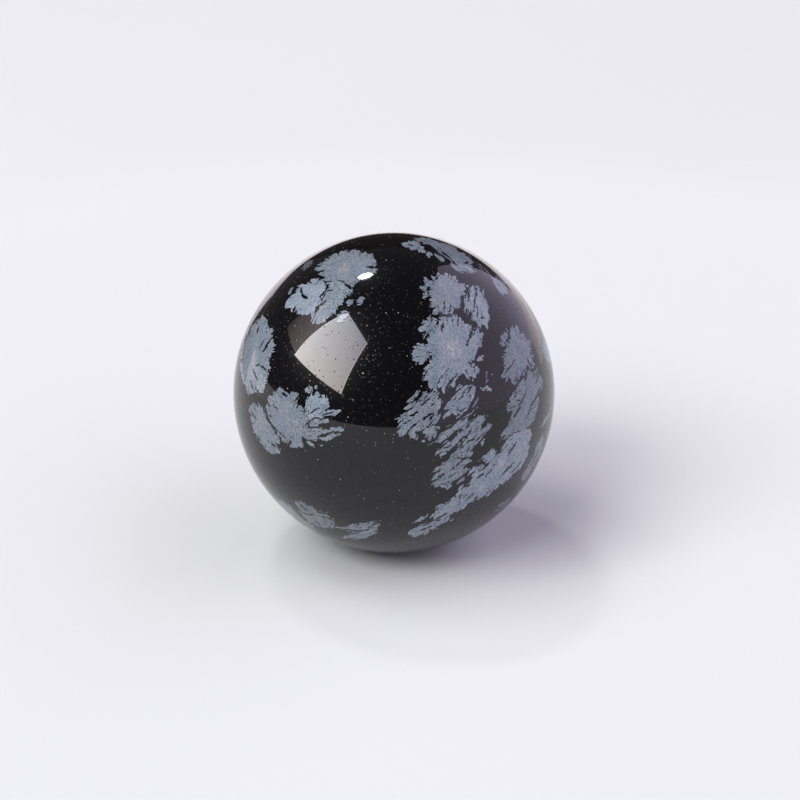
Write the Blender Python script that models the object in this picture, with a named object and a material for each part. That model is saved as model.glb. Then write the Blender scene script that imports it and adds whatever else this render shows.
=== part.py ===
"""A polished ball of snowflake obsidian: one solid piece of volcanic glass, 30 mm across.

Metres, +Z up. The origin is the middle of the small flat that the ball rests on, and the
side with the most snowflakes faces -Y.
"""

import math

import bmesh
import bpy

BALL_DIAMETER = 0.030
BALL_RADIUS = BALL_DIAMETER / 2

# The ball rests on a flat about 4 mm wide and 0.15 mm deep, like the dent that it presses in soft cloth.
FLAT_HALF_ANGLE = math.radians(8.0)
CENTRE_HEIGHT = BALL_RADIUS * math.cos(FLAT_HALF_ANGLE)

RINGS = 44
SEGMENTS = 80

WELD_DISTANCE = 1e-7

GLASS_COLOUR = (0.006, 0.006, 0.007, 1.0)
GLASS_ROUGHNESS = 0.05
GLASS_IOR = 1.49


def clear_scene():
    for obj in list(bpy.data.objects):
        bpy.data.objects.remove(obj)


def black_glass():
    material = bpy.data.materials.new("black_glass")
    material.use_nodes = True
    shader = material.node_tree.nodes["Principled BSDF"]
    shader.inputs["Base Color"].default_value = GLASS_COLOUR
    shader.inputs["Roughness"].default_value = GLASS_ROUGHNESS
    shader.inputs["Metallic"].default_value = 0.0
    shader.inputs["IOR"].default_value = GLASS_IOR
    return material


def ball_profile():
    """Points of the ball's outline in the XZ plane, from the top pole down to the flat's rim."""
    sweep = math.pi - FLAT_HALF_ANGLE
    angles = [sweep * ring / RINGS for ring in range(RINGS + 1)]
    return [
        (BALL_RADIUS * math.sin(angle), 0.0, CENTRE_HEIGHT + BALL_RADIUS * math.cos(angle))
        for angle in angles
    ]


def turned_ball():
    """The profile turned a full circle about Z, with the flat filled in below."""
    shape = bmesh.new()
    points = [shape.verts.new(point) for point in ball_profile()]
    edges = [shape.edges.new(pair) for pair in zip(points, points[1:])]
    bmesh.ops.spin(
        shape,
        geom=points + edges,
        cent=(0.0, 0.0, 0.0),
        axis=(0.0, 0.0, 1.0),
        angle=2 * math.pi,
        steps=SEGMENTS,
        use_merge=True,
        use_duplicate=False,
    )
    bmesh.ops.remove_doubles(shape, verts=shape.verts, dist=WELD_DISTANCE)
    rim = [edge for edge in shape.edges if edge.is_boundary]
    bmesh.ops.holes_fill(shape, edges=rim, sides=SEGMENTS)
    bmesh.ops.recalc_face_normals(shape, faces=shape.faces)
    mesh = bpy.data.meshes.new("obsidian_ball")
    shape.to_mesh(mesh)
    shape.free()
    mesh.shade_smooth()
    return mesh


def main():
    clear_scene()
    ball = bpy.data.objects.new("obsidian_ball", turned_ball())
    ball.data.materials.append(black_glass())
    bpy.context.scene.collection.objects.link(ball)


main()
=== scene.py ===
"""The looks of a polished ball of snowflake obsidian: black volcanic glass with blue-grey crystal flakes.

The flakes that face the camera are laid out from the photograph as ovals, and the rest of the ball is
given flakes of the same kinds. Lengths are in metres, and in millimetres inside the stone's finish.
"""

import logging
import math
import random
from dataclasses import dataclass
from enum import Enum

import bpy
import numpy as np
from mathutils import Matrix, Vector


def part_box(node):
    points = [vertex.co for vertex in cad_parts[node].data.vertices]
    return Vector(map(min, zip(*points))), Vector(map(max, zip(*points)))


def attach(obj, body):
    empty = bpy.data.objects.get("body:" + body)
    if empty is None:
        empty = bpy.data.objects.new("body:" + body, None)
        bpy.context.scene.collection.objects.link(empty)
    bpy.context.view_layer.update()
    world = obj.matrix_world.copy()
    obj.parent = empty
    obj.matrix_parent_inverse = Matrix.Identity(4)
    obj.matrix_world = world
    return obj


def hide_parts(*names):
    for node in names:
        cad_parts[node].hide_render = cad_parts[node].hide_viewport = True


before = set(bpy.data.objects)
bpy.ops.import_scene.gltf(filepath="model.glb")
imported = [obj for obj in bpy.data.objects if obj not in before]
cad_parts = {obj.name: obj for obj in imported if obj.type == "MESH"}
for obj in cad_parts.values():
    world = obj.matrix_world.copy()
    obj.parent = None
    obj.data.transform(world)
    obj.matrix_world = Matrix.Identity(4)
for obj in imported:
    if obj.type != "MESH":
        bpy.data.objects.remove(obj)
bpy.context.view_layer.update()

Number = float | int
Colour = tuple[float, float, float]
Pixel = tuple[float, float]
Range = tuple[float, float]
Place = tuple[float, float, float]

BALL_NODE = "obsidian_ball"
BODY = "root"
MM = 1000.0
SEED_STEP = 7.0
NOISE_MIDDLE = 0.5
GOLDEN_ANGLE = math.pi * (3 - math.sqrt(5))

log = logging.getLogger(BALL_NODE)


def add_mesh(
    name: str, points: list[Place], faces: list[tuple[int, ...]], material: bpy.types.Material | None = None,
) -> bpy.types.Object:
    """Adds a mesh to the scene.

    Args:
        name: the object's and the mesh's name.
        points: its points.
        faces: the numbers of each face's points.
        material: its material, if it has one already.

    Returns:
        The object.
    """
    mesh = bpy.data.meshes.new(name)
    mesh.from_pydata(points, [], faces)
    if material:
        mesh.materials.append(material)
    holder = bpy.data.objects.new(name, mesh)
    bpy.context.scene.collection.objects.link(holder)
    return holder


@dataclass(frozen=True)
class Patch:
    """An oval in the photograph: middle and half sizes in pixels, and tilt in degrees to the left."""

    at: Pixel
    size: Pixel
    tilt: float = 0.0

    def outline(self, count: int = 24) -> list[Pixel]:
        """Walks round the oval.

        Args:
            count: how many points.

        Returns:
            Pixels, in order round the oval.
        """
        cosine, sine = math.cos(math.radians(self.tilt)), math.sin(math.radians(self.tilt))
        points = []
        for step in range(count):
            turn = 2 * math.pi * step / count
            along, across = self.size[0] * math.cos(turn), self.size[1] * math.sin(turn)
            points.append((
                self.at[0] + along * cosine + across * sine,
                self.at[1] - along * sine + across * cosine,
            ))
        return points


@dataclass(frozen=True)
class Flake:
    """One snowflake in the photograph.

    focus is the pixel that its fibres spread from, strand is a fibre's width in pixels, tone is its
    brightness beside the others, lobes are the ovals that it fills, and slits are the dark gaps in them.
    """

    name: str
    focus: Pixel
    strand: float
    tone: float
    lobes: tuple[Patch, ...]
    slits: tuple[Patch, ...] = ()


SEEN_FLAKES = (
    Flake(name="upper_left_crown", focus=(343, 268), strand=5.0, tone=1.0, lobes=(
        Patch(at=(346, 267), size=(31, 16), tilt=12),
        Patch(at=(366, 257), size=(9, 7), tilt=-30),
        Patch(at=(370, 270), size=(8, 4)),
        Patch(at=(350, 281), size=(9, 6), tilt=20),
    ), slits=(
        Patch(at=(320, 277.5), size=(5, 1.4), tilt=-5),
        Patch(at=(371, 266.5), size=(5, 1.1), tilt=2),
        Patch(at=(346.5, 286), size=(5, 1.2), tilt=-35),
    )),
    Flake(name="upper_left_wing", focus=(317, 286), strand=5.0, tone=1.42, lobes=(
        Patch(at=(309, 297), size=(22, 15), tilt=38),
        Patch(at=(298, 308), size=(9, 7), tilt=20),
        Patch(at=(291, 302), size=(6, 4), tilt=40),
    ), slits=(
        Patch(at=(301.5, 291.5), size=(3.5, 1.1), tilt=-75),
        Patch(at=(303.5, 296.5), size=(4, 1.6), tilt=-40),
        Patch(at=(310.5, 276), size=(4.5, 0.8), tilt=32),
        Patch(at=(294, 309), size=(5, 0.9), tilt=70),
        Patch(at=(308, 316), size=(4, 1), tilt=45),
    )),
    Flake(name="upper_left_heart", focus=(331, 292), strand=5.0, tone=1.12, lobes=(
        Patch(at=(331.5, 299), size=(24, 11), tilt=56),
        Patch(at=(346, 291), size=(6, 5)),
        Patch(at=(320, 317), size=(8, 6), tilt=20),
        Patch(at=(336, 284), size=(10, 8)),
    ), slits=(
        Patch(at=(327.5, 286), size=(3.5, 1.2), tilt=70),
        Patch(at=(330, 289.5), size=(3, 0.8)),
        Patch(at=(323, 292.5), size=(4.5, 0.8), tilt=45),
        Patch(at=(321.5, 304), size=(6, 1.3), tilt=42),
        Patch(at=(316, 309), size=(4.5, 2.2), tilt=62),
        Patch(at=(332, 316), size=(3.5, 1.4), tilt=50),
        Patch(at=(349, 295), size=(4, 0.8), tilt=50),
    )),
    Flake(name="left_bank", focus=(257, 353), strand=4.5, tone=1.12, lobes=(
        Patch(at=(256, 355), size=(38, 14.5), tilt=83),
        Patch(at=(262, 330), size=(13, 8), tilt=100),
        Patch(at=(268, 347), size=(8, 5), tilt=60),
        Patch(at=(251, 384), size=(9, 7), tilt=100),
    ), slits=(
        Patch(at=(257.5, 330), size=(4, 0.7), tilt=72),
        Patch(at=(266, 345), size=(7, 0.9), tilt=58),
        Patch(at=(261, 344), size=(4, 0.7), tilt=60),
        Patch(at=(255, 374), size=(6, 0.9), tilt=-68),
        Patch(at=(258, 364.5), size=(2, 1.2)),
        Patch(at=(264, 367), size=(4.5, 0.9), tilt=-45),
        Patch(at=(252, 386), size=(5, 0.7), tilt=-65),
    )),
    Flake(name="lower_left_leaf", focus=(262, 424), strand=4.0, tone=0.95, lobes=(
        Patch(at=(264, 429), size=(26, 9.5), tilt=-64),
        Patch(at=(254, 411), size=(8, 5), tilt=-70),
        Patch(at=(275, 447), size=(7, 5), tilt=-40),
    ), slits=(
        Patch(at=(253, 414), size=(5, 0.7), tilt=-60),
        Patch(at=(272, 444), size=(5, 0.8), tilt=-40),
        Patch(at=(258, 437), size=(4, 0.6), tilt=-55),
    )),
    Flake(name="lower_left_heart", focus=(287, 419), strand=5.0, tone=0.95, lobes=(
        Patch(at=(287, 418), size=(28, 19), tilt=-62),
        Patch(at=(273, 405), size=(9, 7), tilt=40),
        Patch(at=(278, 394), size=(6, 3.5), tilt=80),
        Patch(at=(293, 396), size=(7, 4.5), tilt=80),
        Patch(at=(296, 442), size=(8, 5), tilt=-20),
    ), slits=(
        Patch(at=(270.5, 424), size=(12, 1.2), tilt=-56),
        Patch(at=(281, 434), size=(6, 0.8), tilt=-48),
        Patch(at=(298.5, 402), size=(5, 1.0), tilt=78),
        Patch(at=(274, 406), size=(4, 0.6), tilt=-50),
        Patch(at=(284, 394.5), size=(2.6, 1.6), tilt=-30),
        Patch(at=(289, 444), size=(3.5, 1.2), tilt=60),
    )),
    Flake(name="lower_left_fan", focus=(303, 418), strand=4.5, tone=1.3, lobes=(
        Patch(at=(316, 408), size=(13, 12), tilt=20),
        Patch(at=(331, 411), size=(8, 3.5), tilt=5),
        Patch(at=(314, 398), size=(8, 4), tilt=60),
        Patch(at=(320, 400), size=(5, 4), tilt=-40),
    ), slits=(
        Patch(at=(304, 410), size=(4, 0.6), tilt=-8),
        Patch(at=(314, 410), size=(5, 0.9), tilt=28),
        Patch(at=(307, 423), size=(5, 0.9), tilt=55),
        Patch(at=(327, 413), size=(5, 0.9), tilt=20),
    )),
    Flake(name="lower_left_train", focus=(290, 431), strand=4.0, tone=0.98, lobes=(
        Patch(at=(317, 433), size=(20, 7), tilt=6),
        Patch(at=(332, 429), size=(9, 2), tilt=14),
        Patch(at=(330, 437), size=(9, 2), tilt=14),
        Patch(at=(318, 422), size=(10, 4), tilt=5),
    ), slits=(
        Patch(at=(314, 428.3), size=(8, 0.8), tilt=2),
        Patch(at=(322, 435), size=(7, 1.0), tilt=14),
        Patch(at=(331, 432.5), size=(7, 0.9), tilt=14),
        Patch(at=(325, 424), size=(6, 0.8), tilt=14),
    )),
    Flake(name="top_fringe", focus=(418, 245), strand=3.5, tone=1.02, lobes=(
        Patch(at=(412, 245), size=(9.5, 4.6), tilt=-8),
        Patch(at=(420, 250), size=(4, 2.6), tilt=-40),
        Patch(at=(428.5, 253.5), size=(3, 2.3)),
    ), slits=(
        Patch(at=(411, 245), size=(3, 0.8), tilt=-10),
    )),
    Flake(name="top_band", focus=(400, 222), strand=2.5, tone=0.86, lobes=(
        Patch(at=(430, 242.5), size=(15, 3.6), tilt=-18),
        Patch(at=(448, 251), size=(16, 6.5), tilt=-30),
        Patch(at=(460, 261), size=(13, 9), tilt=-38),
        Patch(at=(438, 256), size=(6, 2.4), tilt=-42),
        Patch(at=(453, 266), size=(6, 3), tilt=-55),
        Patch(at=(467, 268.5), size=(8, 2.6), tilt=-18),
    ), slits=(
        Patch(at=(446, 255), size=(7, 1.0), tilt=-35),
        Patch(at=(453, 262), size=(4.5, 0.9), tilt=-55),
        Patch(at=(433, 249), size=(9, 1.1), tilt=-42),
        Patch(at=(466, 262), size=(2.6, 1)),
    )),
    Flake(name="top_right_streaks", focus=(470, 252), strand=2.2, tone=0.8, lobes=(
        Patch(at=(484, 270), size=(9, 2), tilt=-45),
        Patch(at=(500, 286), size=(11, 4.5), tilt=-52),
    ), slits=(
        Patch(at=(485, 271), size=(9, 0.7), tilt=-45),
    )),
    Flake(name="right_crown", focus=(446, 293), strand=4.5, tone=0.88, lobes=(
        Patch(at=(446, 293), size=(21, 16.5), tilt=-78),
        Patch(at=(427.5, 281), size=(5, 2.2), tilt=-72),
        Patch(at=(424, 288), size=(3.8, 2)),
        Patch(at=(424.5, 295), size=(3.2, 2.4), tilt=10),
        Patch(at=(436, 311), size=(4, 2.6), tilt=80),
        Patch(at=(459, 290), size=(8, 5), tilt=-65),
        Patch(at=(438, 282), size=(8, 9)),
        Patch(at=(434, 300), size=(6, 6)),
    ), slits=(
        Patch(at=(443.6, 304), size=(5.5, 0.8), tilt=80),
        Patch(at=(449, 306), size=(3.5, 0.6), tilt=80),
        Patch(at=(437.5, 276), size=(3, 0.8), tilt=70),
        Patch(at=(460.5, 305), size=(11, 2.2), tilt=81),
    )),
    Flake(name="right_columns", focus=(470, 250), strand=3.5, tone=1.08, lobes=(
        Patch(at=(477, 308), size=(22, 10.5), tilt=-83),
        Patch(at=(466, 306), size=(11, 3.5), tilt=85),
        Patch(at=(484, 318), size=(12, 4), tilt=85),
        Patch(at=(472, 290), size=(6, 2.5), tilt=85),
    ), slits=(
        Patch(at=(468.6, 295), size=(7, 1.2), tilt=86),
        Patch(at=(474.6, 301), size=(13, 0.9), tilt=82),
        Patch(at=(477, 313), size=(6, 0.7), tilt=86),
        Patch(at=(481, 316), size=(3.5, 0.6), tilt=86),
        Patch(at=(484, 318), size=(3, 0.5)),
        Patch(at=(463.5, 312.5), size=(4, 0.8), tilt=-22),
        Patch(at=(475, 324), size=(6, 1.0), tilt=-38),
        Patch(at=(485, 293), size=(3, 0.8), tilt=-60),
    )),
    Flake(name="right_heart", focus=(453, 349), strand=5.5, tone=1.0, lobes=(
        Patch(at=(452, 347), size=(32, 26), tilt=74),
        Patch(at=(443, 370), size=(21, 15), tilt=30),
        Patch(at=(477, 337), size=(11, 6), tilt=76),
        Patch(at=(472, 371), size=(9, 7.5), tilt=60),
        Patch(at=(480, 359), size=(7, 2.4), tilt=52),
        Patch(at=(446, 318), size=(8, 4)),
        Patch(at=(437, 382), size=(9, 5), tilt=50),
        Patch(at=(449, 385), size=(8, 4), tilt=45),
    ), slits=(
        Patch(at=(442.4, 326), size=(4.2, 1.1), tilt=76),
        Patch(at=(457.6, 324), size=(8, 0.9), tilt=83),
        Patch(at=(470, 332), size=(12, 1.3), tilt=71),
        Patch(at=(477, 353), size=(8, 1.4), tilt=68),
        Patch(at=(476.5, 365), size=(4.5, 1.2), tilt=50),
        Patch(at=(445.5, 371), size=(6, 0.6), tilt=62),
        Patch(at=(439.3, 380), size=(6, 0.9), tilt=66),
        Patch(at=(450.5, 382), size=(9, 1.2), tilt=56),
        Patch(at=(463.5, 380), size=(4, 1.2), tilt=88),
        Patch(at=(449, 315.5), size=(6, 0.8)),
    )),
    Flake(name="right_cheek", focus=(430, 349), strand=4.0, tone=1.02, lobes=(
        Patch(at=(421, 354), size=(9, 8.5), tilt=-40),
        Patch(at=(417, 349), size=(5, 4), tilt=45),
    ), slits=(
        Patch(at=(429, 358.5), size=(6.5, 1.5), tilt=50),
        Patch(at=(417, 355.5), size=(3, 0.6), tilt=15),
    )),
    Flake(name="right_bud", focus=(430, 322), strand=4.0, tone=1.0, lobes=(
        Patch(at=(428, 325), size=(10, 6.3), tilt=42),
        Patch(at=(434, 319), size=(4, 3.5), tilt=60),
    ), slits=(
        Patch(at=(427, 326.5), size=(1.0, 0.8)),
        Patch(at=(431.5, 318), size=(2.4, 0.7), tilt=70),
    )),
    Flake(name="under_heart", focus=(500, 345), strand=4.0, tone=1.0, lobes=(
        Patch(at=(460, 402), size=(16, 9.5), tilt=52),
        Patch(at=(463, 390), size=(7, 4.5), tilt=30),
        Patch(at=(471, 390), size=(6, 2.6), tilt=52),
        Patch(at=(448, 412), size=(6, 2), tilt=42),
        Patch(at=(447, 406), size=(5, 1.6), tilt=45),
    ), slits=(
        Patch(at=(468, 390), size=(4, 0.8), tilt=55),
        Patch(at=(459.5, 397), size=(2.2, 0.6), tilt=45),
        Patch(at=(462, 410), size=(6, 0.8), tilt=48),
        Patch(at=(448, 409), size=(5, 0.8), tilt=38),
    )),
    Flake(name="striped_raft", focus=(480, 350), strand=3.5, tone=1.0, lobes=(
        Patch(at=(420, 416), size=(24, 13.5), tilt=40),
        Patch(at=(412, 396), size=(7.5, 2.2), tilt=45),
        Patch(at=(409, 404.5), size=(7, 2.1), tilt=42),
        Patch(at=(405.5, 412.5), size=(6.5, 2.2), tilt=38),
        Patch(at=(399, 418), size=(3.2, 1.2), tilt=12),
        Patch(at=(417, 405), size=(6.5, 2.8), tilt=45),
        Patch(at=(423, 397), size=(5.5, 3), tilt=58),
        Patch(at=(432, 401), size=(9, 7), tilt=50),
        Patch(at=(436, 418), size=(7, 4), tilt=55),
        Patch(at=(429, 431), size=(7.2, 6.5), tilt=60),
        Patch(at=(413, 435), size=(6, 3.5), tilt=-30),
        Patch(at=(404, 431), size=(6, 4), tilt=35),
    ), slits=(
        Patch(at=(424, 402.5), size=(4.5, 1.2), tilt=40),
        Patch(at=(414, 412), size=(6.5, 1.3), tilt=28),
        Patch(at=(426.5, 415.5), size=(6, 1.3), tilt=34),
        Patch(at=(413, 426), size=(7.5, 1.1), tilt=46),
        Patch(at=(406, 423.5), size=(5, 0.6), tilt=35),
        Patch(at=(424, 429), size=(4.5, 0.8), tilt=42),
        Patch(at=(431, 417.5), size=(4.5, 1.0), tilt=70),
        Patch(at=(419.5, 434.5), size=(2.6, 1.8), tilt=60),
    )),
    Flake(name="strewn_raft", focus=(540, 360), strand=3.2, tone=0.98, lobes=(
        Patch(at=(458, 425), size=(24, 5), tilt=35),
        Patch(at=(461, 435), size=(27, 5), tilt=38),
        Patch(at=(472, 428), size=(17, 7), tilt=45),
        Patch(at=(470, 441), size=(20, 6.5), tilt=46),
        Patch(at=(467, 453), size=(9, 4.5), tilt=28),
        Patch(at=(484, 429), size=(7, 2.6), tilt=45),
    ), slits=(
        Patch(at=(457, 430), size=(4.5, 1.5), tilt=28),
        Patch(at=(469, 424), size=(9, 0.8), tilt=46),
        Patch(at=(467.5, 434), size=(5.5, 1.2), tilt=52),
        Patch(at=(457, 442), size=(9, 1.0), tilt=44),
        Patch(at=(471, 439.5), size=(5.5, 0.9), tilt=33),
        Patch(at=(484, 425), size=(5.5, 0.9), tilt=50),
        Patch(at=(446, 446), size=(3.5, 0.8), tilt=30),
        Patch(at=(461, 447), size=(4.5, 1.0), tilt=50),
        Patch(at=(480, 436), size=(5, 0.8), tilt=50),
    )),
    Flake(name="small_raft", focus=(560, 400), strand=3.0, tone=0.97, lobes=(
        Patch(at=(451, 470), size=(20, 9.5), tilt=26),
        Patch(at=(441, 481), size=(10, 3.4), tilt=24),
        Patch(at=(437, 468), size=(7, 2), tilt=28),
        Patch(at=(446, 486.5), size=(5, 3), tilt=10),
        Patch(at=(461, 478.5), size=(7, 1.7), tilt=45),
        Patch(at=(464, 463), size=(7, 4), tilt=30),
        Patch(at=(444, 452), size=(4.2, 1.7), tilt=30),
        Patch(at=(453, 455), size=(4.5, 1.5), tilt=40),
    ), slits=(
        Patch(at=(437, 471), size=(6, 0.8), tilt=28),
        Patch(at=(441, 475), size=(6, 0.7), tilt=36),
        Patch(at=(436, 480), size=(6, 0.7), tilt=34),
        Patch(at=(455, 466), size=(7, 0.6), tilt=35),
        Patch(at=(452, 474), size=(4, 0.6), tilt=35),
        Patch(at=(464, 459), size=(5, 0.8), tilt=35),
    )),
    Flake(name="right_shore", focus=(516, 350), strand=3.5, tone=0.82, lobes=(
        Patch(at=(516, 356), size=(27, 13), tilt=82),
        Patch(at=(504, 338), size=(8, 3), tilt=75),
        Patch(at=(513, 332), size=(6, 3.5), tilt=85),
        Patch(at=(526, 345), size=(8, 4), tilt=-60),
        Patch(at=(508, 374), size=(9, 5), tilt=55),
        Patch(at=(530, 361), size=(8, 3.5), tilt=-80),
    ), slits=(
        Patch(at=(509, 368), size=(7, 0.9), tilt=52),
        Patch(at=(512.5, 361), size=(2.4, 0.6), tilt=60),
        Patch(at=(520.5, 377), size=(6, 0.9), tilt=76),
        Patch(at=(528.5, 362), size=(3.6, 0.7), tilt=-62),
        Patch(at=(508.8, 334), size=(5, 0.9), tilt=86),
        Patch(at=(504, 347.5), size=(4, 1.1), tilt=22),
        Patch(at=(515.5, 378), size=(5, 0.5), tilt=74),
    )),
    Flake(name="right_cliff", focus=(565, 320), strand=3.0, tone=0.86, lobes=(
        Patch(at=(525, 402), size=(32, 13), tilt=76),
        Patch(at=(533, 384), size=(14, 8), tilt=80),
        Patch(at=(511, 403), size=(11, 4), tilt=75),
        Patch(at=(508, 430), size=(10, 4), tilt=60),
        Patch(at=(545.5, 418), size=(9, 1.3), tilt=62),
    ), slits=(
        Patch(at=(522, 398), size=(9, 0.9), tilt=62),
        Patch(at=(535, 397), size=(12, 0.9), tilt=64),
        Patch(at=(517, 411), size=(9, 0.9), tilt=58),
        Patch(at=(529, 412), size=(7, 0.6), tilt=62),
        Patch(at=(537, 378), size=(6, 0.7), tilt=78),
        Patch(at=(518, 400), size=(3, 0.9)),
        Patch(at=(512, 407), size=(3, 0.7), tilt=20),
        Patch(at=(525.5, 376), size=(5, 1.1), tilt=76),
    )),
    Flake(name="lower_right_bank", focus=(600, 330), strand=3.0, tone=1.2, lobes=(
        Patch(at=(519, 443), size=(18, 10), tilt=62),
        Patch(at=(508, 460), size=(27, 14), tilt=52),
        Patch(at=(486, 481), size=(28, 12), tilt=38),
        Patch(at=(489, 455), size=(10, 5), tilt=42),
        Patch(at=(476, 470), size=(8, 4), tilt=45),
        Patch(at=(466, 489), size=(10, 6), tilt=30),
        Patch(at=(451, 506), size=(22, 7.5), tilt=30),
        Patch(at=(430, 525), size=(21, 3.6), tilt=20),
        Patch(at=(424, 531), size=(11, 2.6), tilt=18),
        Patch(at=(505, 444), size=(9, 3), tilt=45),
        Patch(at=(419, 519), size=(8, 1.2), tilt=28),
    ), slits=(
        Patch(at=(507, 469), size=(10, 0.9), tilt=47),
        Patch(at=(497, 446), size=(4, 0.9), tilt=50),
        Patch(at=(512, 448), size=(8, 0.9), tilt=62),
        Patch(at=(481, 475), size=(4, 1.0), tilt=40),
        Patch(at=(487, 474), size=(3, 0.6), tilt=45),
        Patch(at=(466, 485), size=(5, 0.9), tilt=25),
        Patch(at=(491, 496), size=(10, 0.9), tilt=42),
        Patch(at=(446, 503), size=(5, 0.6), tilt=35),
        Patch(at=(440, 516), size=(8, 0.8), tilt=30),
        Patch(at=(429, 522), size=(9, 0.7), tilt=24),
        Patch(at=(425, 528), size=(8, 0.6), tilt=18),
        Patch(at=(516, 466), size=(6, 0.8), tilt=52),
        Patch(at=(469, 496), size=(5, 0.6), tilt=40),
    )),
    Flake(name="rim_streaks", focus=(620, 340), strand=2.2, tone=0.8, lobes=(
        Patch(at=(531, 462), size=(21, 3.6), tilt=61),
        Patch(at=(538, 446), size=(12, 2.4), tilt=66),
        Patch(at=(546, 351), size=(12, 2.6), tilt=-78),
    ), slits=(
        Patch(at=(529, 461), size=(14, 0.7), tilt=60),
        Patch(at=(534, 458), size=(12, 0.6), tilt=62),
    )),
    Flake(name="lower_left_rim", focus=(330, 560), strand=3.0, tone=0.78, lobes=(
        Patch(at=(316, 517), size=(18, 7.5), tilt=-26),
        Patch(at=(304, 508), size=(9, 4.5), tilt=-38),
        Patch(at=(325, 523), size=(8, 5), tilt=-20),
    ), slits=(
        Patch(at=(309, 513.5), size=(6.5, 0.8), tilt=-12),
        Patch(at=(303, 507), size=(6, 0.7), tilt=-42),
        Patch(at=(326, 517.5), size=(6, 0.6), tilt=-20),
        Patch(at=(317, 523), size=(4, 0.6), tilt=-30),
        Patch(at=(321, 512.5), size=(4, 0.8), tilt=-12),
    )),
    Flake(name="lower_left_edge", focus=(330, 575), strand=2.5, tone=0.75, lobes=(
        Patch(at=(289, 509), size=(15, 2.4), tilt=-42),
        Patch(at=(305, 522), size=(10, 2.2), tilt=-38),
    )),
    Flake(name="foot_leaf", focus=(440, 515), strand=3.0, tone=0.98, lobes=(
        Patch(at=(356, 526), size=(20, 3.6), tilt=7),
        Patch(at=(360, 534), size=(17, 4), tilt=8),
        Patch(at=(370, 530), size=(8, 5), tilt=15),
    ), slits=(
        Patch(at=(360, 529.6), size=(11, 0.8), tilt=6),
        Patch(at=(347, 529.5), size=(7, 0.7)),
        Patch(at=(353, 533.5), size=(7, 0.5), tilt=6),
        Patch(at=(368, 537.5), size=(6, 0.5), tilt=12),
    )),
    Flake(name="crumbs", focus=(400, 300), strand=3.0, tone=1.02, lobes=(
        Patch(at=(360, 301), size=(4.6, 3.1), tilt=42),
        Patch(at=(348.5, 303), size=(4.8, 3), tilt=52),
        Patch(at=(342, 315), size=(6.5, 3.8), tilt=35),
        Patch(at=(290.5, 290), size=(3.6, 1.2), tilt=55),
        Patch(at=(372.6, 255.6), size=(1.5, 1.6)),
        Patch(at=(308.5, 389), size=(4.2, 3.2), tilt=30),
        Patch(at=(315.6, 386), size=(2.2, 1.7), tilt=45),
        Patch(at=(321, 445), size=(1.8, 1.3), tilt=20),
        Patch(at=(309, 443), size=(4, 1.3), tilt=-30),
        Patch(at=(487, 381.5), size=(2.8, 1.1), tilt=50),
        Patch(at=(484.5, 388), size=(3.4, 1.9), tilt=30),
        Patch(at=(488.5, 389.5), size=(2.2, 1.4), tilt=10),
        Patch(at=(480.8, 387.6), size=(1.2, 1.6)),
        Patch(at=(482.6, 442), size=(3.4, 1.3), tilt=66),
        Patch(at=(422, 441.5), size=(2.1, 1.2)),
        Patch(at=(439, 427), size=(1.7, 1.2), tilt=30),
        Patch(at=(435.6, 427.4), size=(1.2, 1.2)),
        Patch(at=(467.4, 286.5), size=(1.5, 1.5)),
    )),
    Flake(name="faint_wisps", focus=(330, 240), strand=2.2, tone=0.55, lobes=(
        Patch(at=(306.5, 264), size=(6.5, 2.4), tilt=36),
        Patch(at=(486, 376), size=(3.6, 0.7), tilt=78),
        Patch(at=(475, 402.5), size=(6, 1.0), tilt=52),
        Patch(at=(504, 502), size=(9, 0.8), tilt=36),
        Patch(at=(499, 508), size=(9, 0.7), tilt=34),
    )),
)


@dataclass(frozen=True)
class Ball:
    """The polished ball, worked out from the CAD model: a turned shape with a small flat at its foot."""

    radius: float
    centre_height: float
    segments: int = 320
    rings: int = 170
    flat_rings: tuple[float, ...] = (0.97, 0.85, 0.6, 0.3)

    @classmethod
    def from_frame(cls) -> "Ball":
        """Reads the ball's size and place from the CAD node's box.

        Returns:
            The ball.
        """
        low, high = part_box(BALL_NODE)
        radius = (high.x - low.x) / 2
        return cls(radius=radius, centre_height=high.z - radius)

    @property
    def centre(self) -> Vector:
        """The ball's middle."""
        return Vector((0.0, 0.0, self.centre_height))

    def profile(self) -> list[tuple[float, float]]:
        """Works out the rings below the top pole, down the side and in over the flat.

        Returns:
            Each ring's radius and height.
        """
        flat_angle = math.acos(self.centre_height / self.radius)
        sweep = math.pi - flat_angle
        side = [sweep * (ring + 1) / self.rings for ring in range(self.rings)]
        points = [
            (self.radius * math.sin(angle), self.centre_height + self.radius * math.cos(angle))
            for angle in side
        ]
        rim = self.radius * math.sin(flat_angle)
        return points + [(rim * share, 0.0) for share in self.flat_rings]

    def build(self) -> bpy.types.Object:
        """Makes the ball's fine mesh.

        Returns:
            The ball's object, shaded smooth.
        """
        vertices: list[Place] = []
        for reach, height in self.profile():
            for segment in range(self.segments):
                turn = 2 * math.pi * segment / self.segments
                vertices.append((reach * math.cos(turn), reach * math.sin(turn), height))
        top, foot = len(vertices), len(vertices) + 1
        vertices += [(0.0, 0.0, self.centre_height + self.radius), (0.0, 0.0, 0.0)]
        last = top - self.segments
        faces: list[tuple[int, ...]] = []
        for segment in range(self.segments):
            beside = (segment + 1) % self.segments
            faces.append((top, segment, beside))
            faces.append((foot, last + beside, last + segment))
            for start in range(0, last, self.segments):
                below = start + self.segments
                faces.append((start + segment, below + segment, below + beside, start + beside))
        piece = add_mesh("polished_ball", vertices, faces)
        piece.data.shade_smooth()
        return piece


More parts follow.
